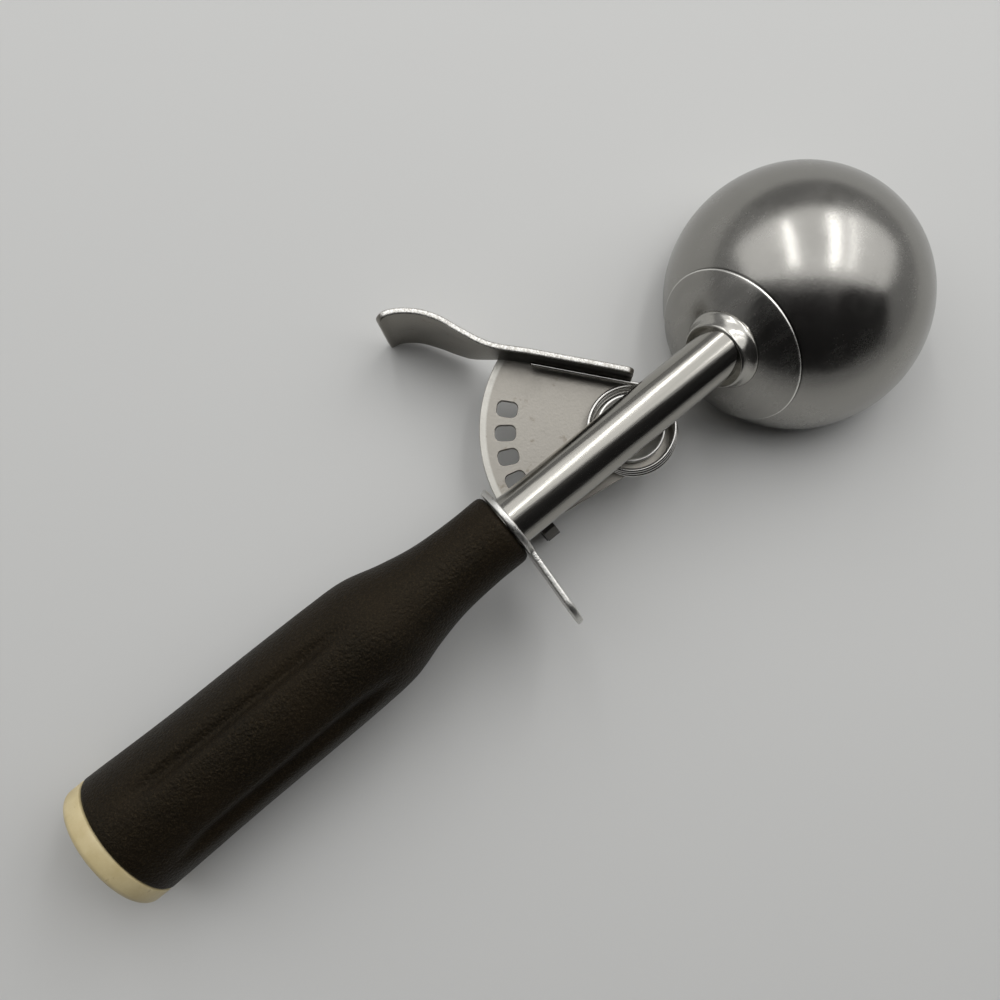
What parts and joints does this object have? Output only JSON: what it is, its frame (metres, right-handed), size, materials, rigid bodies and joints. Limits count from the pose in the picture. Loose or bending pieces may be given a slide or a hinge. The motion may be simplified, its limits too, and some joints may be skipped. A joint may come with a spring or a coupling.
{
  "type": "ice cream scoop",
  "caption": "Lever ice cream scoop: dome bowl on a tube shank, thumb lever that drives a scraper blade inside the bowl, finger guard and dark handle with a pale end cap.",
  "frame": {"origin": "centre of the bowl's mouth, on the rim plane", "axes": "+Z from the mouth towards the dome, -X along the shank towards the handle, +Y towards the thumb lever"},
  "size_m": [0.2491, 0.0946, 0.0455],
  "materials": {
    "bowl_steel": "satin",
    "bright_steel": "polished",
    "lever_steel": "satin",
    "dark_steel": "satin",
    "bronze": "satin",
    "handle_plastic": "matte",
    "cap_plastic": "matte"
  },
  "bodies": {
    "frame": {"bowl": "bowl_steel", "saddle_plate": "bowl_steel", "shank_collar": "bright_steel", "shank": "bright_steel", "finger_guard": "bright_steel", "handle": "handle_plastic", "end_cap": "cap_plastic", "tang_ring": "dark_steel", "bowl_bush": "bronze", "guard_bush": "bronze", "pivot_stud": "bright_steel", "spring_seat": "bright_steel", "stud_washer": "bright_steel", "stud_clip": "dark_steel", "blade_pivot_pin": "bright_steel"},
    "lever": {"lever_plate": "lever_steel", "lever_bush": "bronze", "return_spring": "bright_steel"},
    "scraper": {"drive_rod": "bright_steel", "drive_pinion": "dark_steel", "pinion_pin": "dark_steel", "rod_washer": "bright_steel", "rod_clip": "dark_steel", "scraper_blade": "bowl_steel", "blade_hub": "dark_steel"}
  },
  "joints": [
    {"name": "thumb_lever", "type": "hinge", "parent": "frame", "child": "lever", "pos_m": [-0.057, 0, 0.01725], "axis": [0, 0, 1], "range_deg": [0, 45], "stiffness_Nm_per_rad": 0.25, "springref_deg": -20.05},
    {"name": "scraper_shaft", "type": "hinge", "parent": "frame", "child": "scraper", "pos_m": [-0.088, 0, 0.0095], "axis": [1, 0, 0], "range_deg": [0, 180]}
  ],
  "couplings": [
    {"joint": "scraper_shaft", "follows": "thumb_lever", "ratio": 4}
  ]
}
